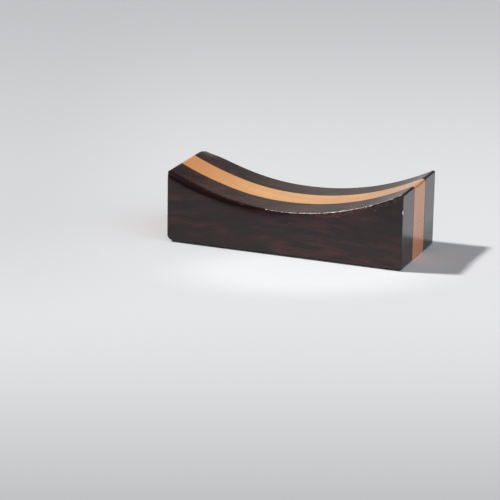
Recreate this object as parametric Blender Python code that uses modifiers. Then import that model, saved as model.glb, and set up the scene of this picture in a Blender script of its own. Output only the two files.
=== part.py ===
"""Laminated wooden chopstick rest.

A short block glued up from three wood laminas, dark, pale and dark, with a
round-bottomed saddle sanded across its top to cradle a pair of chopsticks.

Metres, +Z up. The origin is at the centre of the flat base, +X runs along the
rest towards its taller end, and -Y is the front, where the thick dark lamina is.
"""

import math

import bmesh
import bpy
from mathutils import Matrix, Vector

# Driving dimensions of the glued-up block
LENGTH = 0.0608
LEFT_HEIGHT = 0.0179
RIGHT_HEIGHT = 0.0192
SADDLE_DEPTH = 0.0073  # arc's lowest point below the line between the two end tops

# Thicknesses across the block, front to rear
FRONT_LAMINA = 0.0079
CORE_LAMINA = 0.0078
REAR_LAMINA = 0.0073
GLUE_FILM = 0.0001
SEAM_GAP = 0.00002  # bare gap between a film and the wood on each side of it
GLUE_SETBACK = 0.0002  # the films stop this far above the base, so only wood meets the table

# Rounding left by sanding
EDGE_RADIUS = 0.0006
BASE_CORNER_RADIUS = 0.0016  # the base edge under the left end is sanded further
EDGE_SEGMENTS = 3
CORNER_SEGMENTS = 5
SADDLE_SIDES = 360  # facets round the whole saddle circle
SMOOTH_ANGLE = math.radians(35)

# Worked out from the above
SEAM = GLUE_FILM + 2 * SEAM_GAP
WIDTH = FRONT_LAMINA + CORE_LAMINA + REAR_LAMINA + 2 * SEAM
TALLEST = max(LEFT_HEIGHT, RIGHT_HEIGHT)
CUTTER_MARGIN = 0.002  # how far a cutter stands out past the block


def clear_scene():
    """Remove whatever the scene holds."""
    for old in list(bpy.data.objects):
        bpy.data.objects.remove(old, do_unlink=True)


def new_collection(name):
    """A collection linked to the scene."""
    collection = bpy.data.collections.new(name)
    bpy.context.scene.collection.children.link(collection)
    return collection


def wood_material(name, colour, roughness):
    """A plain Principled material in one colour."""
    material = bpy.data.materials.new(name)
    material.use_nodes = True
    shader = material.node_tree.nodes["Principled BSDF"]
    shader.inputs["Base Color"].default_value = (*colour, 1.0)
    shader.inputs["Roughness"].default_value = roughness
    shader.inputs["Metallic"].default_value = 0.0
    material.diffuse_color = (*colour, 1.0)
    return material


def saddle_circle():
    """Centre (x, z) and radius of the saddle's arc, from its depth and the two end heights."""
    left_top = Vector((-LENGTH / 2, LEFT_HEIGHT))
    right_top = Vector((LENGTH / 2, RIGHT_HEIGHT))
    chord = right_top - left_top
    half_chord = chord.length / 2
    radius = (half_chord**2 + SADDLE_DEPTH**2) / (2 * SADDLE_DEPTH)
    upward = Vector((-chord.y, chord.x)).normalized()
    centre = (left_top + right_top) / 2 + upward * (radius - SADDLE_DEPTH)
    return centre, radius


def box_mesh(name, low, high):
    """A closed box between two corners."""
    mesh = bpy.data.meshes.new(name)
    size = Vector(high) - Vector(low)
    middle = (Vector(high) + Vector(low)) / 2
    shape = bmesh.new()
    bmesh.ops.create_cube(shape, size=1.0, matrix=Matrix.Translation(middle) @ Matrix.Diagonal((*size, 1.0)))
    shape.to_mesh(mesh)
    shape.free()
    return mesh


def block_mesh():
    """The uncut block, the base edge under its left end already rounded."""
    mesh = box_mesh("block", (-LENGTH / 2, -WIDTH / 2, 0.0), (LENGTH / 2, WIDTH / 2, 1.2 * TALLEST))
    shape = bmesh.new()
    shape.from_mesh(mesh)
    base_corners = [
        edge
        for edge in shape.edges
        if all(vert.co.z < EDGE_RADIUS and vert.co.x < EDGE_RADIUS - LENGTH / 2 for vert in edge.verts)
    ]
    bmesh.ops.bevel(
        shape,
        geom=base_corners,
        offset=BASE_CORNER_RADIUS,
        offset_type="OFFSET",
        segments=CORNER_SEGMENTS,
        profile=0.5,
        affect="EDGES",
    )
    shape.to_mesh(mesh)
    shape.free()
    return mesh


def as_cutter(cutter):
    """Mark an object as one that only cuts."""
    cutter.hide_render = True
    cutter.display_type = "WIRE"
    return cutter


def saddle_cutter(collection):
    """The cylinder that sands the saddle into the block's top."""
    centre, radius = saddle_circle()
    mesh = bpy.data.meshes.new("saddle_cutter")
    shape = bmesh.new()
    bmesh.ops.create_cone(
        shape,
        cap_ends=True,
        segments=SADDLE_SIDES,
        radius1=radius,
        radius2=radius,
        depth=WIDTH + 2 * CUTTER_MARGIN,
    )
    shape.to_mesh(mesh)
    shape.free()
    cutter = bpy.data.objects.new("saddle_cutter", mesh)
    cutter.location = (centre.x, 0.0, centre.y)
    cutter.rotation_euler = (math.radians(90), 0.0, 0.0)
    collection.objects.link(cutter)
    return as_cutter(cutter)


def slab_cutter(name, front, rear, floor, collection):
    """The slab of space that one layer of the block fills: from front to rear along Y, from floor up."""
    reach = LENGTH / 2 + CUTTER_MARGIN
    low = (-reach, front, floor)
    high = (reach, rear, TALLEST + CUTTER_MARGIN)
    cutter = bpy.data.objects.new(name, box_mesh(name, low, high))
    collection.objects.link(cutter)
    return as_cutter(cutter)


def layer(name, slab, block, saddle, material, parts):
    """One layer of the block: cut by the saddle, its edges eased, then kept inside its slab."""
    piece = bpy.data.objects.new(name, block.copy())
    piece.data.name = name
    piece.data.materials.append(material)
    parts.objects.link(piece)

    saddled = piece.modifiers.new("saddle", "BOOLEAN")
    saddled.operation = "DIFFERENCE"
    saddled.solver = "EXACT"
    saddled.object = saddle

    eased = piece.modifiers.new("eased_edges", "BEVEL")
    eased.limit_method = "ANGLE"
    eased.angle_limit = SMOOTH_ANGLE
    eased.width = EDGE_RADIUS
    eased.segments = EDGE_SEGMENTS

    sliced = piece.modifiers.new("slice", "BOOLEAN")
    sliced.operation = "INTERSECT"
    sliced.solver = "EXACT"
    sliced.object = slab

    piece.data.shade_smooth()
    piece.data.set_sharp_from_angle(angle=SMOOTH_ANGLE)
    return piece


def front_dark_wood():
    """Reddish-black rosewood, satin."""
    return wood_material("front_dark_wood", (0.046, 0.031, 0.031), 0.34)


def rear_dark_wood():
    """The same wood from a cooler, blacker board."""
    return wood_material("rear_dark_wood", (0.044, 0.040, 0.036), 0.34)


def pale_wood():
    """Pink-orange cherry, satin."""
    return wood_material("pale_wood", (0.68, 0.37, 0.19), 0.34)


def glue():
    """Dried brown wood glue."""
    return wood_material("glue", (0.12, 0.06, 0.03), 0.5)


def build():
    """Make the five layers, front to rear."""
    clear_scene()
    parts = new_collection("laminated_chopstick_rest")
    cutters = new_collection("cutters")
    block = block_mesh()
    saddle = saddle_cutter(cutters)
    adhesive = glue()

    # Where the seams between the laminas start and end, front to rear
    front_seam = -WIDTH / 2 + FRONT_LAMINA
    rear_seam = WIDTH / 2 - REAR_LAMINA
    beyond = WIDTH / 2 + CUTTER_MARGIN
    below = -CUTTER_MARGIN

    # Each layer's name, the slab it fills (front, rear, floor) and its material
    stack = [
        ("front_dark_lamina", (-beyond, front_seam, below), front_dark_wood()),
        ("front_glue_film", (front_seam + SEAM_GAP, front_seam + SEAM - SEAM_GAP, GLUE_SETBACK), adhesive),
        ("pale_core_lamina", (front_seam + SEAM, rear_seam - SEAM, below), pale_wood()),
        ("rear_glue_film", (rear_seam - SEAM + SEAM_GAP, rear_seam - SEAM_GAP, GLUE_SETBACK), adhesive),
        ("rear_dark_lamina", (rear_seam, beyond, below), rear_dark_wood()),
    ]
    for name, extent, material in stack:
        slab = slab_cutter(f"{name}_slab", *extent, cutters)
        layer(name, slab, block, saddle, material, parts)


build()
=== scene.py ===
"""Laminated chopstick rest: three sanded laminas, the glue lines between them, a table and a studio.

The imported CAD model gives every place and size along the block. Each lamina is rebuilt as one
closed, finely divided surface whose edges are eased by hand sanding, and takes a solid timber
pattern, so the grain on its long faces, its saddle and its ends is one piece of wood.

Metres, +Z up, +X towards the taller end, -Y out of the front.
"""

from __future__ import annotations

import logging
import math
from dataclasses import dataclass, replace
from enum import Enum

import bmesh
import bpy
import numpy as np
from mathutils import Euler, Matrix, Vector


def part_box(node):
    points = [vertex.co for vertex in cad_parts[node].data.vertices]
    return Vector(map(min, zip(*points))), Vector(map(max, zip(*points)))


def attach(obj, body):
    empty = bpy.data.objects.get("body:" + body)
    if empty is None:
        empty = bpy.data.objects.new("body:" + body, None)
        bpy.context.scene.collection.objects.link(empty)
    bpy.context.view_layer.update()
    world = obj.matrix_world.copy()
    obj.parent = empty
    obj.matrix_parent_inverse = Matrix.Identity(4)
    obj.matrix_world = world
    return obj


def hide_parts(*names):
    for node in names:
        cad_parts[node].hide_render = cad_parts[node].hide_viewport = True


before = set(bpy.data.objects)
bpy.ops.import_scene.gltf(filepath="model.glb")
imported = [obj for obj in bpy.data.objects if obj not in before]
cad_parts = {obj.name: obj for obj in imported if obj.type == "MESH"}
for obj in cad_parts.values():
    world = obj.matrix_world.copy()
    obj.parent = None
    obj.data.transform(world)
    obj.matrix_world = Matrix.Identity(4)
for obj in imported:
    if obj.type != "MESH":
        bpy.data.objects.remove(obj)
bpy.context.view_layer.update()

MM = 0.001
LOG = logging.getLogger("chopstick_rest")

Colour = tuple[float, float, float]
Mesh = bpy.types.Mesh
Node = bpy.types.Node
Object = bpy.types.Object
Socket = bpy.types.NodeSocket
COAT_ROUGHNESS = 0.16
MASKS = ("rubbed", "end_grain", "buffed", "arris", "torn", "chips_and_glints")


class Side(Enum):
    """Which face of a lamina is sanded round at its edges."""

    FRONT = "front"
    REAR = "rear"
    NEITHER = "neither"


# Shapes


def smoothstep(low: float, high: float, value: np.ndarray) -> np.ndarray:
    """Ease from 0 at low to 1 at high.

    Args:
        low: where the step starts.
        high: where it ends; it may be less than low, which turns the step round.
        value: the values to ease.

    Returns:
        t * t * (3 - 2 t), with t the value's clipped place between low and high.
    """
    t = np.clip((value - low) / (high - low), 0.0, 1.0)
    return t * t * (3.0 - 2.0 * t)


def one_way(run: np.ndarray, end: float, step: float) -> np.ndarray:
    """A rising run of values that never turns back.

    Args:
        run: the values.
        end: the value that comes after them.
        step: the least rise from one value to the next.

    Returns:
        The run, with its first half raised to a step past the value before wherever it is less, and
        its second half lowered to a step short of the value after wherever it is more.
    """
    half = len(run) // 2
    ramp = step * np.arange(len(run) + 1)
    risen = np.maximum.accumulate(run[:half] - ramp[:half]) + ramp[:half]
    back = np.append(run[half:], end)[::-1]
    lowered = np.minimum.accumulate(back + ramp[: len(back)]) - ramp[: len(back)]
    return np.concatenate([risen, lowered[1:][::-1]])


@dataclass(frozen=True)
class Around:
    """A size for each stretch of the outline: base, right end, saddle's right and left parts, left end."""

    base: float
    right_end: float
    right_top: float
    left_top: float
    left_end: float


@dataclass(frozen=True)
class SaddleOutline:
    """The block's side profile in X and Z: flat base, upright ends and a round saddle on top."""

    length: float
    left_height: float = 17.9 * MM
    right_height: float = 19.2 * MM
    saddle_depth: float = 7.3 * MM
    left_base: float = 1.7 * MM
    right_base: float = 0.65 * MM
    right_tip: float = 0.85 * MM
    left_tip: float = 0.45 * MM
    lean: float = 0.3 * MM
    lift: float = 0.22 * MM
    lift_place: float = -24.0 * MM
    lift_reach: float = 15.0 * MM
    least_radius: float = 0.02 * MM
    least_step: float = 0.003 * MM
    long_steps: int = 480
    end_steps: int = 56
    corner_steps: int = 7

    @property
    def side_counts(self) -> tuple[int, int]:
        """Steps along a long side and along an end, half a corner at each of their ends included."""
        return self.long_steps + 2 * self.corner_steps, self.end_steps + 2 * self.corner_steps

    def saddle_circle(self) -> tuple[float, float, float]:
        """Centre x, centre z and radius of the circle that the saddle follows.

        Returns:
            The circle through both end tops, whose lowest point is saddle_depth under their chord:
            radius = (half chord squared + depth squared) / (2 depth).
        """
        rise = self.right_height - self.left_height
        half = math.hypot(self.length, rise) / 2.0
        radius = (half**2 + self.saddle_depth**2) / (2.0 * self.saddle_depth)
        reach = radius - self.saddle_depth
        centre_x = -rise / (2.0 * half) * reach
        centre_z = (self.left_height + self.right_height) / 2.0 + self.length / (2.0 * half) * reach
        return centre_x, centre_z, radius

    def top(self, x: np.ndarray) -> np.ndarray:
        """Height of the saddle over x.

        It is centre z less the square root of radius² - (x - centre x)², plus a low swell on the
        left, where the sanding left the hollow a little full: lift * (1 + cos(pi * distance / reach)) / 2.
        """
        centre_x, centre_z, radius = self.saddle_circle()
        distance = np.clip(np.abs(x - self.lift_place) / self.lift_reach, 0.0, 1.0)
        swell = self.lift * (1.0 + np.cos(math.pi * distance)) / 2.0
        return centre_z - np.sqrt(np.maximum(radius**2 - (x - centre_x) ** 2, 0.0)) + swell

    def corner(self, centre: tuple[float, float], start: float, radius: np.ndarray) -> np.ndarray:
        """Half a rounded corner: an arc of 45 degrees about its centre, its last point left out.

        Args:
            centre: the arc's centre.
            start: the angle it starts at, in degrees.
            radius: the arc's radius at each of its points.

        Returns:
            corner_steps points.
        """
        angle = np.radians(start + 45.0 * np.arange(self.corner_steps) / self.corner_steps)
        return np.stack([centre[0] + radius * np.cos(angle), centre[1] + radius * np.sin(angle)], 1)

    def loop(self, inset: np.ndarray) -> np.ndarray:
        """The closed outline moved inwards, from the left base corner's middle and round by the base.

        A rounded rectangle is drawn first, each corner's radius less the inset there, and no less
        than least_radius. Its upper part is then lifted by the saddle's height less the rectangle's,
        in proportion to the height between its corners, which carries the tips up whole. Each side
        is kept running one way, and the ends lean by lean * (height / end height - 1/2).

        Args:
            inset: how far each point moves in, one value a point.

        Returns:
            An array of points (x, z).
        """
        half, high = self.length / 2.0, self.left_height
        runs = np.split(inset, np.cumsum(self._run_lengths())[:-1])
        low_l = max(self.left_base, max(runs[10][-1], runs[1][0]) + self.least_radius)
        low_r = max(self.right_base, max(runs[1][-1], runs[4][0]) + self.least_radius)
        right = max(self.right_tip, max(runs[4][-1], runs[7][0]) + self.least_radius)
        left = max(self.left_tip, max(runs[7][-1], runs[10][0]) + self.least_radius)
        base_x = self.straight(low_l - half, half - low_r, self.long_steps)
        up_z = self.straight(low_r, high - right, self.end_steps)
        back_x = self.straight(half - right, left - half, self.long_steps)
        down_z = self.straight(high - left, low_l, self.end_steps)
        parts = [
            self.corner((low_l - half, low_l), 225.0, low_l - runs[0]),
            np.stack([base_x, runs[1]], 1),
            self.corner((half - low_r, low_r), 270.0, low_r - runs[2]),
            self.corner((half - low_r, low_r), 315.0, low_r - runs[3]),
            np.stack([half - runs[4], up_z], 1),
            self.corner((half - right, high - right), 0.0, right - runs[5]),
            self.corner((half - right, high - right), 45.0, right - runs[6]),
            np.stack([back_x, high - runs[7]], 1),
            self.corner((left - half, high - left), 90.0, left - runs[8]),
            self.corner((left - half, high - left), 135.0, left - runs[9]),
            np.stack([runs[10] - half, down_z], 1),
            self.corner((low_l - half, low_l), 180.0, low_l - runs[11]),
        ]
        points = np.concatenate(parts)
        tip_z = np.where(points[:, 0] > 0.0, high - right, high - left)
        low_z = np.where(points[:, 0] > 0.0, low_r, low_l)
        share = np.clip((points[:, 1] - low_z) / (tip_z - low_z), 0.0, 1.0)
        points[:, 1] += (self.top(points[:, 0]) - high) * share
        along, up = self.side_counts
        base, right_end, saddle, left_end = np.split(points, np.cumsum([along, up, along]))
        base[:, 0] = one_way(base[:, 0], right_end[0, 0], self.least_step)
        right_end[:, 1] = one_way(right_end[:, 1], saddle[0, 1], self.least_step)
        saddle[:, 0] = -one_way(-saddle[:, 0], -left_end[0, 0], self.least_step)
        left_end[:, 1] = -one_way(-left_end[:, 1], -base[0, 1], self.least_step)
        points[:, 0] += self.lean * (points[:, 1] / high - 0.5)
        return points

    def straight(self, start: float, end: float, count: int) -> np.ndarray:
        """Evenly spaced values, the last one left out."""
        return start + (end - start) * np.arange(count) / count

    def _run_lengths(self) -> list[int]:
        """Points in each straight run and half corner, in the loop's order."""
        n = self.corner_steps
        return [n, self.long_steps, n, n, self.end_steps, n, n, self.long_steps, n, n, self.end_steps, n]

    def spread(self, size: Around) -> np.ndarray:
        """A size for each point of the loop, blended from stretch to stretch over the corners.

        Args:
            size: the sizes. The saddle's two blend into each other left of its middle.

        Returns:
            An array with as many values as the loop has points.
        """
        n = self.corner_steps
        turn = smoothstep(-n, n, np.arange(-n, n))
        along = np.linspace(1.0, -1.0, self.long_steps)
        runs = [
            size.left_end + (size.base - size.left_end) * turn[n:],
            np.full(self.long_steps, size.base),
            size.base + (size.right_end - size.base) * turn,
            np.full(self.end_steps, size.right_end),
            size.right_end + (size.right_top - size.right_end) * turn,
            size.left_top + (size.right_top - size.left_top) * smoothstep(-0.85, -0.05, along),
            size.left_top + (size.left_end - size.left_top) * turn,
            np.full(self.end_steps, size.left_end),
            size.left_end + (size.base - size.left_end) * turn[:n],
        ]
        return np.concatenate(runs)

    def fill(self, loop: np.ndarray) -> np.ndarray:
        """A grid of points over the flat face inside a loop.

        It is a Coons patch: the blend between base and saddle plus the blend between the two ends,
        less the blend of the four corners. Each point's shares u and v are where straight lines
        between the same share of opposite sides would cross, so that no faces fold.

        Args:
            loop: the face's outline, as loop() gives it.

        Returns:
            An array of (rows up, columns along, 2).
        """
        along, up = self.side_counts
        base = loop[: along + 1]
        right = loop[along : along + up + 1]
        saddle = loop[along + up : 2 * along + up + 1][::-1]
        left = np.concatenate([loop[2 * along + up :], loop[:1]])[::-1]

        def share(run: np.ndarray) -> np.ndarray:
            """How far each value is from the run's first to its last."""
            return (run - run[0]) / (run[-1] - run[0])

        base_u, saddle_u = share(base[:, 0])[None, :], share(saddle[:, 0])[None, :]
        left_v, right_v = share(left[:, 1])[:, None], share(right[:, 1])[:, None]
        u = (base_u + left_v * (saddle_u - base_u)) / (1.0 - (saddle_u - base_u) * (right_v - left_v))
        v = left_v + u * (right_v - left_v)
        u, v = u[..., None], v[..., None]
        between = (1 - v) * base[None] + v * saddle[None]
        across = (1 - u) * left[:, None] + u * right[:, None]
        corners = (1 - v) * ((1 - u) * base[0] + u * base[-1]) + v * ((1 - u) * saddle[0] + u * saddle[-1])
        return between + across - corners


def quads(rows: int, columns: int, start: int, closed: bool) -> np.ndarray:
    """Four-sided faces of a grid of points.

    Args:
        rows: how many rows of points.
        columns: how many points in each row.
        start: the first point's number.
        closed: whether each row's last point joins its first.

    Returns:
        An array of (faces, 4) point numbers.
    """
    last = columns if closed else columns - 1
    i, j = np.meshgrid(np.arange(rows - 1), np.arange(last), indexing="ij")
    k = (j + 1) % columns
    corners = np.stack([i * columns + j, i * columns + k, (i + 1) * columns + k, (i + 1) * columns + j], -1)
    return start + corners.reshape(-1, 4)


def solid_mesh(name: str, points: np.ndarray, faces: list[list[int]]) -> Mesh:
    """A mesh with its doubled points merged and its faces turned outwards.

    Args:
        name: the mesh's name.
        points: (n, 3) places.
        faces: the point numbers of each face.

    Returns:
        The new mesh.
    """
    mesh = bpy.data.meshes.new(name)
    mesh.from_pydata(points.tolist(), [], faces)
    work = bmesh.new()
    work.from_mesh(mesh)
    bmesh.ops.remove_doubles(work, verts=work.verts, dist=0.0005 * MM)
    bmesh.ops.recalc_face_normals(work, faces=work.faces)
    work.to_mesh(mesh)
    work.free()
    return mesh


def mesh_points(mesh: Mesh) -> np.ndarray:
    """The mesh's points as an (n, 3) array."""
    flat = np.empty(len(mesh.vertices) * 3)
    mesh.vertices.foreach_get("co", flat)
    return flat.reshape(-1, 3)


def set_points(mesh: Mesh, points: np.ndarray) -> None:
    """Put an (n, 3) array back into the mesh."""
    mesh.vertices.foreach_set("co", points.ravel())
    mesh.update()


def mesh_normals(mesh: Mesh) -> np.ndarray:
    """The mesh's point normals as an (n, 3) array."""
    flat = np.empty(len(mesh.vertices) * 3)
    mesh.vertex_normals.foreach_get("vector", flat)
    return flat.reshape(-1, 3)


def set_mask(mesh: Mesh, name: str, values: np.ndarray) -> None:
    """Store one number a point as a named attribute, for a material to read."""
    attribute = mesh.attributes.new(name, "FLOAT", "POINT")
    attribute.data.foreach_set("value", values.astype(np.float32))


def new_piece(name: str, mesh: Mesh, material: bpy.types.Material) -> Object:
    """Link a mesh to the scene as a smooth piece with one material.

    Args:
        name: the piece's name.
        mesh: its finished mesh, in the frame's own place.
        material: its material.

    Returns:
        The new object, at the origin.
    """
    mesh.materials.append(material)
    mesh.shade_smooth()
    mesh.set_sharp_from_angle(angle=math.radians(50))
    piece = bpy.data.objects.new(name, mesh)
    bpy.context.scene.collection.objects.link(piece)
    return piece


# Chips along the edge


@dataclass(frozen=True)
class EdgeMarks:
    """Small marks strewn along the front lamina's upper edge, at random places and in random sizes."""

    count: int
    start: float
    end: float
    shortest: float
    longest: float
    width: float
    middle: float = 0.0
    scatter: float = 0.05 * MM
    seed: int = 11

    def field(self, along: np.ndarray, across: np.ndarray) -> np.ndarray:
        """How marked the surface is, from 0 to 1.

        Each mark is a Gaussian bump, long along the edge and narrow across it.

        Args:
            along: distance along the edge.
            across: distance from the edge over the surface, negative down the front face.

        Returns:
            The sum of the marks at each point, clipped at 1.
        """
        dice = np.random.default_rng(self.seed)
        places = self.start + (self.end - self.start) * dice.beta(1.3, 1.1, self.count)
        lengths = dice.uniform(self.shortest, self.longest, self.count)
        offsets = dice.normal(self.middle, self.scatter, self.count)
        strengths = dice.uniform(0.35, 1.0, self.count)
        near = np.abs(across - self.middle) < 4 * self.width + 2 * self.scatter
        total = np.zeros(len(along))
        gap = (along[near, None] - places) / lengths
        aside = (across[near, None] - offsets) / self.width
        total[near] = (strengths * np.exp(-(gap**2) - aside**2)).sum(1)
        return np.clip(total, 0.0, 1.0)


@dataclass(frozen=True)
class EdgeWear:
    """What sanding did to the front lamina's brittle edges.

    There are chip marks on the upper edge, a thread of closer ones by its middle, torn grain under it,
    and a nick on the upright edge. The chip marks, the thread and the nick also place a painted glint.
    """

    chips_and_glints: EdgeMarks = EdgeMarks(170, -5.0 * MM, 30.0 * MM, 0.1 * MM, 0.4 * MM, 0.075 * MM)
    thread: EdgeMarks = EdgeMarks(
        40, -3.0 * MM, 14.0 * MM, 0.12 * MM, 0.45 * MM, 0.05 * MM, scatter=0.03 * MM, seed=23
    )
    torn: EdgeMarks = EdgeMarks(
        60, 8.0 * MM, 29.5 * MM, 0.12 * MM, 0.5 * MM, 0.08 * MM, middle=-0.7 * MM, scatter=0.35 * MM, seed=5
    )
    nick_height: float = 14.6 * MM
    nick_behind: float = 0.25 * MM
    nick_size: tuple[float, float] = (0.2 * MM, 0.55 * MM)
    depth: float = 0.12 * MM


# Node trees


class Tree:
    """A short way to write a node tree."""

    def __init__(self, tree: bpy.types.NodeTree) -> None:
        """Keep the tree that nodes are added to."""
        self.tree = tree

    def add(
        self, kind: str, inputs: dict[str | int, object] | None = None, **settings: object
    ) -> Node:
        """Add a node.

        Args:
            kind: the node's type, without its ShaderNode prefix.
            inputs: socket name or number, to a value or to another node's output socket.
            settings: the node's own properties.

        Returns:
            The node.
        """
        node = self.tree.nodes.new(f"ShaderNode{kind}")
        for key, value in settings.items():
            setattr(node, key, value)
        for key, value in (inputs or {}).items():
            if isinstance(value, Socket):
                self.feed(value, node.inputs[key])
            else:
                node.inputs[key].default_value = value
        return node

    def math(self, operation: str, *values: object) -> Socket:
        """A Math node's result."""
        return self.add("Math", dict(enumerate(values)), operation=operation).outputs[0]

    def vector(self, operation: str, *values: object) -> Socket:
        """A Vector Math node's vector."""
        return self.add("VectorMath", dict(enumerate(values)), operation=operation).outputs[0]

    def noise(self, vector: Socket, scale: float, detail: float, rough: float) -> Socket:
        """A noise texture's value, about 0.5 on average."""
        inputs = {"Vector": vector, "Scale": scale, "Detail": detail, "Roughness": rough}
        return self.add("TexNoise", inputs).outputs["Fac"]

    def ramp(self, value: object, low: float, high: float) -> Socket:
        """Ease a value from 0 at low to 1 at high."""
        inputs = {"Value": value, "From Min": low, "From Max": high}
        return self.add("MapRange", inputs, interpolation_type="SMOOTHSTEP").outputs[0]

    def between(self, value: object, low: object, high: object) -> Socket:
        """Spread a value of 0 to 1 linearly between two numbers."""
        return self.add("MapRange", {"Value": value, "To Min": low, "To Max": high}).outputs[0]

    def place(self) -> Socket:
        """The point on the piece, in its own coordinates."""
        return self.add("TexCoord").outputs["Object"]

    def split(self, vector: Socket) -> dict[str, Socket]:
        """A vector's X, Y and Z by name."""
        return {socket.name: socket for socket in self.add("SeparateXYZ", {0: vector}).outputs}

    def turn(self, vector: Socket, angle: object, axis: str) -> Socket:
        """Turn a vector about one axis."""
        inputs = {"Vector": vector, "Angle": angle}
        return self.add("VectorRotate", inputs, rotation_type=f"{axis}_AXIS").outputs[0]

    def mask(self, name: str) -> Socket:
        """A named attribute of the mesh."""
        return self.add("Attribute", attribute_name=name).outputs["Fac"]

    def feed(self, value: Socket, target: Socket) -> None:
        """Link a value to a socket."""
        self.tree.links.new(value, target)

    def mix(self, factor: object, first: object, second: object, blend: str = "MIX") -> Socket:
        """Mix two colours."""
        node = self.add("Mix", data_type="RGBA", blend_type=blend, clamp_factor=True)
        for socket, value in ((node.inputs[0], factor), (node.inputs[6], first), (node.inputs[7], second)):
            if isinstance(value, Socket):
                self.feed(value, socket)
            else:
                socket.default_value = (*value, 1.0) if isinstance(value, tuple) else value
        return node.outputs[2]

    def blend(self, mark: object, amount: float, first: object, second: object) -> Socket:
        """Mix a second colour in by a mark times an amount."""
        return self.mix(self.math("MULTIPLY", mark, amount), first, second)

    def shaded(self, colour: Socket, mark: Socket, low: float, high: float) -> Socket:
        """Multiply a colour by a mark spread between two numbers."""
        shade = self.between(mark, low, high)
        grey = self.add("CombineColor", {0: shade, 1: shade, 2: shade}).outputs[0]
        return self.mix(1.0, colour, grey, "MULTIPLY")


def new_group(name: str, inputs: dict[str, float], outputs: list[str]) -> tuple[Tree, dict, Node]:
    """Start a shader node group of numbers.

    Args:
        name: the group's name.
        inputs: its inputs and their starting values.
        outputs: its outputs.

    Returns:
        The tree, the input sockets by name, and the output node.
    """
    tree = bpy.data.node_groups.new(name, "ShaderNodeTree")
    for key, value in inputs.items():
        socket = tree.interface.new_socket(key, in_out="INPUT", socket_type="NodeSocketFloat")
        socket.default_value = value
    for key in outputs:
        tree.interface.new_socket(key, in_out="OUTPUT", socket_type="NodeSocketFloat")
    entry = tree.nodes.new("NodeGroupInput")
    leave = tree.nodes.new("NodeGroupOutput")
    return Tree(tree), {s.name: s for s in entry.outputs}, leave


def timber_group() -> bpy.types.NodeTree:
    """The solid pattern of a piece of wood, shared by every lamina.

    Points are bowed by X squared times the bow, which arches the grain along the block, then turned
    by the grain's climb and the rings' lean, wandered a little by a slow noise, and pressed together
    along X by how far a mark of each kind runs along the fibres. Noise of those points gives the
    growth bands, the dark lines and the fibres, and cells of them, cut off close round their
    middles, give the pores. On an end face the same points give end grain.
    """
    sizes = {"Climb": 0.0, "Bow": 0.0, "Lean": 0.0, "Shift": 0.0}
    sizes |= {"Band Width": 1.2, "Band Run": 9.0, "Line Width": 0.35, "Line Run": 25.0}
    sizes |= {"Pore Gap": 0.5, "Pore Run": 8.0}
    marks = ["Band", "Patch", "Line", "Fibre", "Pore"]
    tree, size, leave = new_group("timber", sizes, marks)
    in_mm = tree.vector("SCALE", tree.place())
    in_mm.node.inputs["Scale"].default_value = 1.0 / MM
    along = tree.split(in_mm)["X"]
    rise = tree.math("MULTIPLY", tree.math("MULTIPLY", along, along), size["Bow"])
    bowed = tree.vector("ADD", in_mm, tree.add("CombineXYZ", {"Z": rise}).outputs[0])
    climbed = tree.turn(bowed, size["Climb"], "Y")
    leaned = tree.turn(climbed, size["Lean"], "X")
    apart = tree.add("CombineXYZ", {"X": size["Shift"], "Y": size["Shift"], "Z": size["Shift"]}).outputs[0]
    moved = tree.vector("ADD", leaned, apart)
    slow = tree.add("TexNoise", {"Vector": moved, "Scale": 0.09, "Detail": 2.0}).outputs["Color"]
    drift = tree.vector("MULTIPLY", tree.vector("SUBTRACT", slow, (0.5, 0.5, 0.5)), (0.0, 3.2, 3.2))
    wandered = tree.vector("ADD", moved, drift)

    def pressed(width: object, run: object) -> Socket:
        """The points measured in mark widths, and in runs of them along the fibres."""
        long = tree.math("MULTIPLY", width, run)
        steps = tree.add("CombineXYZ", {"X": long, "Y": width, "Z": width}).outputs[0]
        return tree.vector("DIVIDE", wandered, steps)

    band_place = pressed(size["Band Width"], size["Band Run"])
    flat_rings = tree.vector("MULTIPLY", band_place, (1.0, 0.3, 1.0))
    line_place = pressed(size["Line Width"], size["Line Run"])
    pore_place = pressed(size["Pore Gap"], size["Pore Run"])
    fibre_place = pressed(0.11, 40.0)
    cells = tree.add("TexVoronoi", {"Vector": pore_place, "Scale": 1.0}, feature="F1").outputs["Distance"]
    result = {
        "Band": tree.noise(flat_rings, 1.0, 3.0, 0.5),
        "Patch": tree.noise(band_place, 0.45, 1.0, 0.5),
        "Line": tree.noise(line_place, 1.0, 2.0, 0.45),
        "Fibre": tree.noise(fibre_place, 1.0, 2.0, 0.6),
        "Pore": tree.ramp(cells, 0.24, 0.1),
    }
    for mark, socket in result.items():
        tree.feed(socket, leave.inputs[mark])
    return tree.tree


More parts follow.
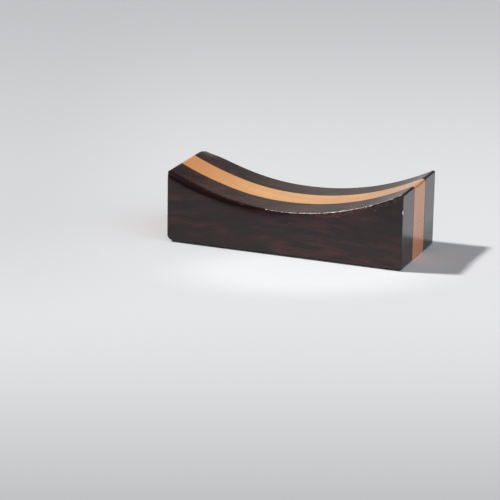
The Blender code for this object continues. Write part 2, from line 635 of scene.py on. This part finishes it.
def polish_group() -> bpy.types.NodeTree:
    """The uneven shine and the faint relief of an oiled and buffed surface.

    Shine is a base value raised by pores and fibres and by slow cloudy smears. Height is the
    fibres' ridges, less the pores' hollows and fine scratches that run across the block.
    """
    inputs = {"Fibre": 0.5, "Pore": 0.0, "Shine": 0.25, "Uneven": 0.1}
    tree, given, leave = new_group("polish", inputs, ["Roughness", "Height"])
    place = tree.place()
    smears = tree.noise(place, 240.0, 3.0, 0.6)
    spots = tree.noise(place, 5200.0, 2.0, 0.6)
    across = tree.vector("MULTIPLY", place, (9000.0, 500.0, 1500.0))
    scratches = tree.ramp(tree.noise(across, 1.0, 1.0, 0.5), 0.68, 0.76)
    cloudy = tree.math("MULTIPLY", tree.math("SUBTRACT", smears, 0.5), given["Uneven"])
    grainy = tree.math("MULTIPLY", tree.math("SUBTRACT", spots, 0.5), 0.08)
    rough = tree.math("ADD", tree.math("ADD", given["Shine"], cloudy), grainy)
    rough = tree.math("MULTIPLY_ADD", given["Pore"], 0.18, rough)
    ridges = tree.math("MULTIPLY", given["Fibre"], 0.35)
    height = tree.math("MULTIPLY_ADD", given["Pore"], -0.8, ridges)
    height = tree.math("MULTIPLY_ADD", scratches, -0.25, height)
    tree.feed(tree.math("MAXIMUM", rough, 0.05), leave.inputs["Roughness"])
    tree.feed(height, leave.inputs["Height"])
    return tree.tree


def group(name: str) -> bpy.types.NodeTree:
    """A shared node group, built the first time it is asked for."""
    makers = {"timber": timber_group, "polish": polish_group}
    return bpy.data.node_groups.get(name) or makers[name]()


def new_material(name: str) -> tuple[bpy.types.Material, Tree, Node]:
    """An empty node material.

    Args:
        name: its name.

    Returns:
        The material, its tree, and its Principled shader.
    """
    material = bpy.data.materials.new(name)
    material.use_nodes = True
    tree = Tree(material.node_tree)
    return material, tree, material.node_tree.nodes["Principled BSDF"]


# Finishes


@dataclass(frozen=True)
class Timber:
    """How the solid pattern is set for one board: angles in degrees and sizes in millimetres."""

    climb: float
    bow: float
    lean: float
    shift: float
    band: tuple[float, float]
    line: tuple[float, float]
    pore: tuple[float, float]

    def place(self, tree: Tree) -> dict[str, Socket]:
        """Put the timber group into a material with this board's values.

        Args:
            tree: the material's tree.

        Returns:
            The group's outputs by name.
        """
        values = {
            "Climb": math.radians(self.climb),
            "Bow": self.bow,
            "Lean": math.radians(self.lean),
            "Shift": self.shift,
            "Band Width": self.band[0],
            "Band Run": self.band[1],
            "Line Width": self.line[0],
            "Line Run": self.line[1],
            "Pore Gap": self.pore[0],
            "Pore Run": self.pore[1],
        }
        node = tree.add("Group", values, node_tree=group("timber"))
        return {socket.name: socket for socket in node.outputs}


def polish(
    tree: Tree, shader: Node, marks: dict[str, Socket], finish: Wood, uneven: float, relief: float
) -> None:
    """Give a wood's shader its uneven shine, its relief, and the brighter coat of its buffed ends.

    Args:
        tree: the material's tree.
        shader: its Principled shader.
        marks: the timber's marks.
        finish: the wood, whose shine is the roughness where nothing changes it.
        uneven: how far slow smears change it.
        relief: the height of the fibres, in metres.
    """
    inputs = {"Fibre": marks["Fibre"], "Pore": marks["Pore"], "Shine": finish.shine, "Uneven": uneven}
    node = tree.add("Group", inputs, node_tree=group("polish"))
    tree.feed(node.outputs["Roughness"], shader.inputs["Roughness"])
    bump = tree.add("Bump", {"Height": node.outputs["Height"], "Distance": relief, "Strength": 1.0})
    tree.feed(bump.outputs[0], shader.inputs["Normal"])
    shader.inputs["IOR"].default_value = finish.ior
    coat = tree.math("MULTIPLY", tree.mask("buffed"), finish.coat)
    tree.feed(coat, shader.inputs["Coat Weight"])
    shader.inputs["Coat Roughness"].default_value = COAT_ROUGHNESS


@dataclass(frozen=True)
class DarkWood:
    """Near-black rosewood with red-brown figure, fine black lines and open pores, oiled to a satin.

    The rubbed saddle is browner. The end grain is blacker in its own tone, deepened further as
    painted shade; the rounded arris is painted black, a painted shade for the dark band along it.
    The end's upper part is buffed brightest. Torn grain shows brown, and the chip marks are
    painted near-white, a painted glint of the key light on the worn edge.
    """

    name: str
    timber: Timber
    black: Colour
    brown: Colour
    red: Colour
    rubbed: Colour
    ior: float
    shine: float = 0.2
    coat: float = 0.36
    # Near-white on the chip marks: bare wood, brightened into a painted glint of the key light.
    bare_wood_and_glint: Colour = (0.86, 0.8, 0.74)
    torn: Colour = (0.2, 0.065, 0.033)

    def material(self) -> bpy.types.Material:
        """Build the material."""
        material, tree, shader = new_material(self.name)
        marks = self.timber.place(tree)
        mask = {name: tree.mask(name) for name in MASKS}
        banded = tree.mix(tree.ramp(marks["Band"], 0.3, 0.68), self.black, self.brown)
        red_band = tree.ramp(marks["Band"], 0.42, 0.66)
        red_patch = tree.ramp(marks["Patch"], 0.38, 0.62)
        figured = tree.mix(tree.math("MULTIPLY", red_band, red_patch), banded, self.red)
        worn = tree.mix(tree.ramp(marks["Band"], 0.25, 0.75), self.brown, self.rubbed)
        figured = tree.blend(mask["rubbed"], 0.85, figured, worn)
        lined = tree.blend(tree.ramp(marks["Line"], 0.46, 0.3), 0.8, figured, self.black)
        fibred = tree.shaded(lined, marks["Fibre"], 0.5, 1.5)
        pored = tree.blend(marks["Pore"], 0.6, fibred, self.black)
        # Painted shade: the rounded arris is mixed to black for the dark band along the edge, and the end
        # grain, darker in its own tone, is deepened with it.
        end_grain_and_arris_shade = tree.math("MAXIMUM", tree.math("MULTIPLY", mask["end_grain"], 0.8), mask["arris"])
        oiled = tree.mix(end_grain_and_arris_shade, pored, self.black)
        scuffed = tree.blend(mask["torn"], 0.8, oiled, self.torn)
        # Painted glint: the chip marks are mixed towards near-white, standing in for the key light's glint
        # on the worn edge.
        chipped_and_glinting = tree.blend(tree.ramp(mask["chips_and_glints"], 0.22, 0.65), 0.9, scuffed, self.bare_wood_and_glint)
        tree.feed(chipped_and_glinting, shader.inputs["Base Color"])
        polish(tree, shader, marks, self, 0.1, 0.005 * MM)
        return material


@dataclass(frozen=True)
class PaleWood:
    """Pink-orange cherry with soft bands, fine fibres, small gum flecks and a stain beside each seam.

    It deepens towards the left end and dulls towards the right one.
    """

    name: str
    timber: Timber
    light: Colour
    deep: Colour
    dull: Colour
    fleck: Colour
    seams: tuple[float, float]
    stain: Colour = (0.2, 0.075, 0.025)
    end_tint: Colour = (0.74, 0.48, 0.35)
    ior: float = 1.6
    shine: float = 0.22
    coat: float = 0.25

    def material(self) -> bpy.types.Material:
        """Build the material."""
        material, tree, shader = new_material(self.name)
        marks = self.timber.place(tree)
        part = tree.split(tree.place())
        banded = tree.blend(tree.ramp(marks["Band"], 0.3, 0.7), 0.5, self.light, self.deep)
        banded = tree.mix(tree.ramp(part["X"], -8.0 * MM, -29.0 * MM), banded, self.deep)
        banded = tree.mix(tree.ramp(part["X"], 10.0 * MM, 28.0 * MM), banded, self.dull)
        fibred = tree.shaded(banded, marks["Fibre"], 0.9, 1.08)
        flecked = tree.blend(marks["Pore"], 0.55, fibred, self.fleck)
        tinted = tree.mix(tree.mask("end_grain"), flecked, self.end_tint, "MULTIPLY")
        ragged = tree.math("MULTIPLY", tree.math("SUBTRACT", marks["Line"], 0.5), 0.25 * MM)
        front, rear = (self.near_seam(tree, part["Y"], seam, ragged) for seam in self.seams)
        stained = tree.blend(tree.math("MAXIMUM", front, rear), 0.75, tinted, self.stain)
        tree.feed(stained, shader.inputs["Base Color"])
        polish(tree, shader, marks, self, 0.12, 0.004 * MM)
        return material

    def near_seam(self, tree: Tree, depth: Socket, seam: float, ragged: Socket) -> Socket:
        """How near a seam is.

        Args:
            tree: the material's tree.
            depth: the place across the block.
            seam: where the seam is across it.
            ragged: a distance to add, which frays the stain's edge.

        Returns:
            1 at the seam, easing to 0 a quarter of a millimetre away.
        """
        away = tree.math("ABSOLUTE", tree.math("SUBTRACT", depth, seam))
        return tree.ramp(tree.math("ADD", away, ragged), 0.24 * MM, 0.02 * MM)


Wood = DarkWood | PaleWood


@dataclass(frozen=True)
class DriedGlue:
    """Brown wood glue, cloudy along the seam."""

    name: str = "dried_glue"
    dark: Colour = (0.03, 0.013, 0.008)
    amber: Colour = (0.12, 0.045, 0.018)

    def material(self) -> bpy.types.Material:
        """Build the material."""
        material, tree, shader = new_material(self.name)
        cloud = tree.noise(tree.place(), 900.0, 3.0, 0.6)
        colour = tree.mix(tree.ramp(cloud, 0.35, 0.7), self.dark, self.amber)
        tree.feed(colour, shader.inputs["Base Color"])
        tree.feed(tree.between(cloud, 0.35, 0.6), shader.inputs["Roughness"])
        return material


@dataclass(frozen=True)
class TableTop:
    """A pale matt sheet with painted light on it: a painted pool of light, brightest round the block,
    and a brighter painted patch where its front face would throw reflected light.

    Painted shade darkens it towards the camera, away from it, a little at the left rear, and more out of
    view.
    """

    name: str = "pale_table"
    # These colours paint light and shade on the floor: a bright pool near the block, painted shade further
    # off and out of view, and a brighter painted patch in front of the block.
    near: Colour = (0.785, 0.793, 0.815)
    far: Colour = (0.53, 0.54, 0.56)
    edge: Colour = (0.28, 0.285, 0.297)
    painted_caustic: Colour = (0.93, 0.94, 0.96)
    beyond_painted_shade: Colour = (0.33, 0.33, 0.335)
    oval_middle: tuple[float, float, float] = (0.002, -0.022, 0.0)
    oval_reach: tuple[float, float, float] = (0.042, 0.024, 1.0)

    def material(self) -> bpy.types.Material:
        """Build the material."""
        material, tree, shader = new_material(self.name)
        place = tree.place()
        part = tree.split(place)
        away = part["Y"]
        # Painted pool of light: brightest near the block, fading to painted shade further away.
        colour = tree.mix(tree.ramp(away, -0.01, 0.31), self.near, self.far)
        # Painted shade at the left rear.
        left = tree.math("MULTIPLY", tree.ramp(part["X"], -0.02, -0.075), tree.ramp(away, -0.08, 0.02))
        colour = tree.blend(left, 0.35, colour, self.far)
        # Painted shade beyond the view, and towards the camera below.
        colour = tree.mix(tree.ramp(away, 0.3, 0.42), colour, self.beyond_painted_shade)
        colour = tree.mix(tree.ramp(away, -0.04, -0.27), colour, self.edge)
        # Painted light: a brighter oval in front of the block stands in for the light its glossy front face
        # reflects onto the table.
        middle = tree.vector("SUBTRACT", place, self.oval_middle)
        oval = tree.vector("DIVIDE", middle, self.oval_reach)
        reach = tree.add("VectorMath", {0: oval}, operation="LENGTH").outputs["Value"]
        colour = tree.mix(tree.ramp(reach, 1.0, 0.35), colour, self.painted_caustic)
        tree.feed(colour, shader.inputs["Base Color"])
        shader.inputs["Roughness"].default_value = 0.9
        shader.inputs["Specular IOR Level"].default_value = 0.2
        return material


# The block's pieces


@dataclass
class Lamina:
    """One layer of wood, standing for a CAD node and filling its space across the block."""

    node: str
    slot: str
    side: Side
    outline: SaddleOutline
    finish: Wood
    ease: Around = Around(0.7 * MM, 0.35 * MM, 0.3 * MM, 1.5 * MM, 0.5 * MM)
    base_undercut: float = 2.4 * MM
    pillow: tuple[float, float] = (0.0, 0.0)
    pillow_depth: float = 3.2 * MM
    tip_wear: float = 0.0
    tip_reach: tuple[float, float] = (3.2 * MM, 2.4 * MM)
    ease_steps: int = 8
    fine_step: float = 0.09 * MM
    fine_reach: float = 1.1 * MM
    coarse_step: float = 0.42 * MM
    ripple: float = 0.012 * MM
    wear: EdgeWear | None = None

    def reach(self) -> tuple[float, float]:
        """The lamina's outer and inner Y: its sanded face first, or its front face if it has none."""
        low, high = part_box(self.node)
        return (high.y, low.y) if self.side is Side.REAR else (low.y, high.y)

    def depths(self) -> np.ndarray:
        """Distances from the sanded edge's end to the seam, close together at first.

        Returns:
            Steps of fine_step over fine_reach, then of coarse_step, the last one on the seam.
        """
        outer, inner = self.reach()
        thick = abs(inner - outer)
        start = self.ease.right_top if self.side is not Side.NEITHER else 0.0
        fine = np.arange(start, start + self.fine_reach, self.fine_step)
        coarse = np.linspace(fine[-1], thick, max(2, round((thick - fine[-1]) / self.coarse_step)))
        return np.concatenate([fine, coarse[1:]])

    def rings(self) -> tuple[np.ndarray, np.ndarray]:
        """The outline carried across the lamina.

        Over the eased edge a ring at angle s is set in by ease * (1 - sin s) and stands
        ease * (1 - cos s) behind the face, which is a quarter circle, or along the base a quarter
        ellipse as deep as base_undercut. The other rings are not set in.

        Returns:
            Rings as an array (rings, points, 3), and the inset of the first ring.
        """
        outer, inner = self.reach()
        inward = math.copysign(1.0, inner - outer)
        ease = self.outline.spread(self.ease)
        behind = self.outline.spread(replace(self.ease, base=self.base_undercut))
        flat = np.zeros(len(ease))
        rows: list[tuple[np.ndarray, np.ndarray]] = []
        if self.side is not Side.NEITHER:
            for s in np.linspace(0.0, math.pi / 2, self.ease_steps + 1)[:-1]:
                rows.append((ease * (1 - math.sin(s)), behind * (1 - math.cos(s))))
        else:
            behind = flat
        depths = self.depths()
        span = depths[-1] - depths[0]
        rows.extend((flat, behind + (depths[-1] - behind) * (depth - depths[0]) / span) for depth in depths)
        rings = []
        for inset, depth in rows:
            loop = self.outline.loop(inset)
            rings.append(np.stack([loop[:, 0], outer + inward * depth, loop[:, 1]], 1))
        return np.array(rings), rows[0][0]

    def mesh(self) -> Mesh:
        """The closed lamina: its rings, a grid over its sanded face and one face on each seam."""
        rings, first_inset = self.rings()
        count = rings.shape[1]
        points = [rings.reshape(-1, 3)]
        faces = quads(len(rings), count, 0, True).tolist()
        last = (len(rings) - 1) * count
        faces.append(list(range(last, last + count)))
        if self.side is Side.NEITHER:
            faces.append(list(range(count)))
        else:
            grid = self.outline.fill(self.outline.loop(first_inset))
            depth = np.full(grid.shape[:2], rings[0, 0, 1])
            points.append(np.stack([grid[..., 0], depth, grid[..., 1]], -1).reshape(-1, 3))
            faces += quads(grid.shape[0], grid.shape[1], rings.shape[0] * count, False).tolist()
        mesh = solid_mesh(self.node, np.concatenate(points), faces)
        self.sand(mesh)
        return mesh

    def sand(self, mesh: Mesh) -> None:
        """Leave the marks of hand work on the mesh, and the masks that the material reads.

        The ripple lowers or lifts the saddle by a sum of three slow sines of X and Y. The pillow
        sets the face back under the saddle's edge, by its size times (1 - depth under the edge /
        pillow_depth)², the more so the further left. Tip wear lowers the left end's outer corner by
        a Gaussian of the distance from it. Chips are left to wear_edges().

        The masks go by the way the surface faces: end grain along X, rubbed upwards, arris between
        upright and upwards, and buffed on the end grain's upper part.

        Args:
            mesh: the lamina's mesh, changed in place.
        """
        points = mesh_points(mesh)
        x, y, z = points.T
        outer, inner = self.reach()
        inward = math.copysign(1.0, inner - outer)
        behind = (y - outer) * inward
        under = self.outline.top(x) - z
        ripple = np.sin(x / (2.9 * MM) + 1.3) + 0.6 * np.sin(x / (1.7 * MM) + y / (6 * MM))
        ripple += 0.5 * np.sin(x / (5.3 * MM) - y / (4 * MM) + 2.1)
        right, left = self.pillow
        size = left + (right - left) * smoothstep(-10 * MM, 18 * MM, x)
        near = np.clip(1 - under / self.pillow_depth, 0, 1) ** 2 * np.clip(1 - behind / (3 * MM), 0, 1) ** 2
        masks = self.wear_edges(points, behind, under)
        points[:, 2] += self.ripple * 0.5 * ripple * smoothstep(3 * MM, 0.0, under)
        points[:, 1] += inward * size * near
        along, across = self.tip_reach
        from_tip = ((x + self.outline.length / 2.0) / along) ** 2 + (behind / across) ** 2
        points[:, 2] -= self.tip_wear * np.exp(-from_tip) * smoothstep(6 * MM, 0.0, under)
        set_points(mesh, points)
        normals = mesh_normals(mesh)
        masks["end_grain"] = smoothstep(0.6, 0.9, np.abs(normals[:, 0]))
        masks["buffed"] = masks["end_grain"] * smoothstep(3.5 * MM, 8.5 * MM, points[:, 2])
        masks["rubbed"] = smoothstep(0.7, 0.93, normals[:, 2])
        # The arris mask marks the rounded edge that the dark wood paints black as painted shade; the end
        # grain mask also deepens its own darker tone there.
        upright = 1.0 - masks["end_grain"]
        rounded = smoothstep(0.12, 0.35, normals[:, 2]) * smoothstep(0.93, 0.75, normals[:, 2])
        masks["arris"] = 0.85 * rounded * upright
        for name in MASKS:
            set_mask(mesh, name, masks[name])

    def wear_edges(self, points: np.ndarray, behind: np.ndarray, under: np.ndarray) -> dict[str, np.ndarray]:
        """Chip the sanded upper edge, and nick the upright one beside it.

        A chip moves the surface in and down, each by 0.7 of its field times its depth. The nick is
        one Gaussian bump beside the right end's front corner.

        Args:
            points: the lamina's points, changed in place.
            behind: how far each is behind the sanded face.
            under: how far each is under the saddle.

        Returns:
            The chip mask, which also places the painted glint, and the torn mask.
        """
        masks = {"chips_and_glints": np.zeros(len(points)), "torn": np.zeros(len(points))}
        if self.wear is None:
            return masks
        x, z = points[:, 0], points[:, 2]
        shell = np.minimum(np.abs(behind), np.abs(under)) < 1.0 * MM
        across = (behind - under)[shell]
        fields = [marks.field(x[shell], across) for marks in (self.wear.chips_and_glints, self.wear.thread)]
        # The chip field also places the painted glint that the dark wood mixes in near-white.
        masks["chips_and_glints"][shell] = np.maximum(*fields)
        masks["torn"][shell] = self.wear.torn.field(x[shell], across)
        wide, tall = self.wear.nick_size
        from_edge = (self.outline.length / 2.0 - x) ** 2 + (behind - self.wear.nick_behind) ** 2
        from_nick = from_edge / wide**2 + ((z - self.wear.nick_height) / tall) ** 2
        # The nick also places a painted glint on the upright edge.
        masks["chips_and_glints"] = np.maximum(masks["chips_and_glints"], np.exp(-from_nick))
        moved = self.wear.depth * masks["chips_and_glints"] * 0.7
        points[:, 1] += moved
        points[:, 2] -= moved
        return masks

    def build(self) -> Object:
        """Make the piece, and let it stand for its node."""
        piece = new_piece(f"{self.node}_wood", self.mesh(), self.finish.material())
        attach(piece, "root")
        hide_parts(self.node)
        return piece


@dataclass
class GlueLine:
    """The film between two laminas, sunk a hair under the sanded surface."""

    node: str
    outline: SaddleOutline
    material: bpy.types.Material
    sunk: float = 0.015 * MM
    gap: float = 0.018 * MM
    rows: int = 3

    def mesh(self) -> Mesh:
        """The outline, set in by sunk, carried from one lamina to the next and closed at both."""
        low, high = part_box(self.node)
        loop = self.outline.loop(self.outline.spread(Around(0.2 * MM, *[self.sunk] * 4)))
        places = np.linspace(low.y - self.gap, high.y + self.gap, self.rows)
        rings = np.array([np.stack([loop[:, 0], np.full(len(loop), y), loop[:, 1]], 1) for y in places])
        count = len(loop)
        faces = quads(self.rows, count, 0, True).tolist()
        faces.append(list(range(count)))
        faces.append(list(range((self.rows - 1) * count, self.rows * count)))
        return solid_mesh(self.node, rings.reshape(-1, 3), faces)

    def build(self) -> Object:
        """Make the piece, and let it stand for its node."""
        piece = new_piece(f"{self.node}_line", self.mesh(), self.material)
        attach(piece, "root")
        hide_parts(self.node)
        return piece


@dataclass
class ChopstickRest:
    """The whole block, front to rear."""

    outline: SaddleOutline

    def front(self) -> Lamina:
        """The thick dark lamina."""
        board = Timber(
            climb=0.0, bow=0.0023, lean=20.0, shift=3.7, band=(1.7, 5.5), line=(0.42, 18.0), pore=(0.42, 9.0)
        )
        finish = DarkWood(
            name="front_dark_wood",
            timber=board,
            black=(0.01, 0.003, 0.0035),
            brown=(0.024, 0.006, 0.0065),
            red=(0.06, 0.0125, 0.0115),
            rubbed=(0.088, 0.039, 0.026),
            ior=1.47,
        )
        return Lamina(
            node="front_dark_lamina",
            slot="front_dark_wood",
            side=Side.FRONT,
            outline=self.outline,
            finish=finish,
            pillow=(0.12 * MM, 0.4 * MM),
            wear=EdgeWear(),
        )

    def core(self) -> Lamina:
        """The pale lamina in the middle."""
        node = "pale_core_lamina"
        low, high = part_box(node)
        board = Timber(
            climb=1.5, bow=0.0, lean=-35.0, shift=21.0, band=(1.6, 14.0), line=(0.3, 20.0), pore=(0.75, 5.0)
        )
        finish = PaleWood(
            name="pale_wood",
            timber=board,
            light=(0.95, 0.52, 0.215),
            deep=(0.79, 0.345, 0.118),
            dull=(0.79, 0.43, 0.21),
            fleck=(0.3, 0.1, 0.04),
            seams=(low.y, high.y),
        )
        outline = replace(self.outline, right_tip=1.3 * MM)
        return Lamina(node, "pale_wood", Side.NEITHER, outline, finish)

    def rear(self) -> Lamina:
        """The thinner dark lamina."""
        board = Timber(
            climb=-2.0,
            bow=0.0008,
            lean=-15.0,
            shift=47.0,
            band=(1.3, 10.0),
            line=(0.32, 26.0),
            pore=(0.42, 9.0),
        )
        finish = DarkWood(
            name="rear_dark_wood",
            timber=board,
            black=(0.007, 0.004, 0.004),
            brown=(0.022, 0.009, 0.007),
            red=(0.045, 0.014, 0.01),
            rubbed=(0.068, 0.033, 0.023),
            ior=1.53,
        )
        return Lamina(
            node="rear_dark_lamina",
            slot="rear_dark_wood",
            side=Side.REAR,
            outline=self.outline,
            finish=finish,
            ease=Around(0.5 * MM, 0.4 * MM, 0.6 * MM, 0.8 * MM, 1.6 * MM),
            tip_wear=0.75 * MM,
        )

    def build(self) -> list[Object]:
        """Make every piece.

        Returns:
            The pieces, front to rear.
        """
        glue = DriedGlue().material()
        layers = [
            self.front(),
            GlueLine("front_glue_film", self.outline, glue),
            self.core(),
            GlueLine("rear_glue_film", self.outline, glue),
            self.rear(),
        ]
        return [layer.build() for layer in layers]


# Studio


@dataclass
class Studio:
    """A table, a small key light from the left, dim room light and the camera."""

    camera_place: tuple[float, float, float] = (0.2158, -0.541, 0.1866)
    camera_turn: float = 22.95
    camera_down: float = 17.93
    lens: float = 180.0
    key_azimuth: float = 283.9
    key_height: float = 53.3
    key_size: float = 5.5
    key_strength: float = 2.66
    key_colour: Colour = (1.0, 0.985, 0.96)
    table_half: float = 3.0
    rear_wall: Colour = (0.39, 0.39, 0.393)
    low_wall: Colour = (0.28, 0.275, 0.27)
    front_wall: Colour = (0.06, 0.06, 0.06)
    right_wall: Colour = (0.13, 0.13, 0.132)
    ceiling: Colour = (0.06, 0.06, 0.062)
    card: Colour = (1.16, 1.2, 1.24)
    card_place: tuple[float, float, float] = (0.8, -0.33, 0.5)

    def table(self) -> Object:
        """The plain floor that the block stands on."""
        mesh = bpy.data.meshes.new("table")
        h = self.table_half
        mesh.from_pydata([(-h, -h, 0.0), (h, -h, 0.0), (h, h, 0.0), (-h, h, 0.0)], [], [(0, 1, 2, 3)])
        table = bpy.data.objects.new("table", mesh)
        mesh.materials.append(TableTop().material())
        bpy.context.scene.collection.objects.link(table)
        table.rotation_euler.z = math.radians(self.camera_turn)
        return table

    def key(self) -> Object:
        """A sun a few degrees wide, for the soft-edged shadow to the right."""
        light = bpy.data.lights.new("key", "SUN")
        light.energy = self.key_strength
        light.angle = math.radians(self.key_size)
        light.color = self.key_colour
        lamp = bpy.data.objects.new("key", light)
        a, e = math.radians(self.key_azimuth), math.radians(self.key_height)
        towards = Vector((math.sin(a) * math.cos(e), -math.cos(a) * math.cos(e), math.sin(e)))
        lamp.rotation_euler = towards.to_track_quat("Z", "Y").to_euler()
        bpy.context.scene.collection.objects.link(lamp)
        return lamp

    def room(self) -> None:
        """Grey walls, a dark ceiling and a broad pale card on the right, as a world.

        The rear wall is dimmer near the floor, the front and right ones are dark, and all fade to
        the ceiling with height. The card is a soft round patch: it grows with the dot product of
        the direction looked in and the card's own.
        """
        world = bpy.data.worlds.new("room")
        bpy.context.scene.world = world
        world.use_nodes = True
        tree = Tree(world.node_tree)
        towards = tree.add("TexCoord").outputs["Generated"]
        part = tree.split(towards)
        wall = tree.mix(tree.ramp(part["Z"], 0.24, 0.0), self.rear_wall, self.low_wall)
        wall = tree.mix(tree.ramp(part["Y"], -0.1, -0.75), wall, self.front_wall)
        wall = tree.mix(tree.ramp(part["X"], -0.25, 0.2), wall, self.right_wall)
        colour = tree.mix(tree.ramp(part["Z"], 0.24, 0.68), wall, self.ceiling)
        card = Vector(self.card_place).normalized()
        facing = tree.add("VectorMath", {0: towards, 1: card}, operation="DOT_PRODUCT").outputs["Value"]
        colour = tree.mix(tree.ramp(facing, 0.55, 0.95), colour, self.card)
        backdrop = world.node_tree.nodes["Background"]
        tree.feed(colour, backdrop.inputs["Color"])
        backdrop.inputs["Strength"].default_value = 1.0

    def camera(self) -> Object:
        """A long lens looking down at the front and the right end."""
        data = bpy.data.cameras.new("camera")
        data.lens = self.lens
        data.sensor_width = 36.0
        data.clip_start, data.clip_end = 0.01, 20.0
        camera = bpy.data.objects.new("camera", data)
        camera.location = self.camera_place
        turn = (90.0 - self.camera_down, 0.0, self.camera_turn)
        camera.rotation_euler = Euler([math.radians(angle) for angle in turn])
        bpy.context.scene.collection.objects.link(camera)
        bpy.context.scene.camera = camera
        return camera

    def build(self) -> None:
        """Set the stage."""
        self.table()
        self.key()
        self.room()
        self.camera()
        bpy.context.scene.view_settings.view_transform = "Standard"


def main() -> None:
    """Build the rest and the studio, and report each piece."""
    logging.basicConfig(level=logging.INFO, format="%(name)s: %(message)s")
    low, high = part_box("pale_core_lamina")
    outline = SaddleOutline(length=high.x - low.x)
    for piece in ChopstickRest(outline).build():
        size = [round(v / MM, 2) for v in piece.dimensions]
        LOG.info("%s: %d faces, %s mm", piece.name, len(piece.data.polygons), size)
    Studio().build()


if __name__ == "__main__":
    main()
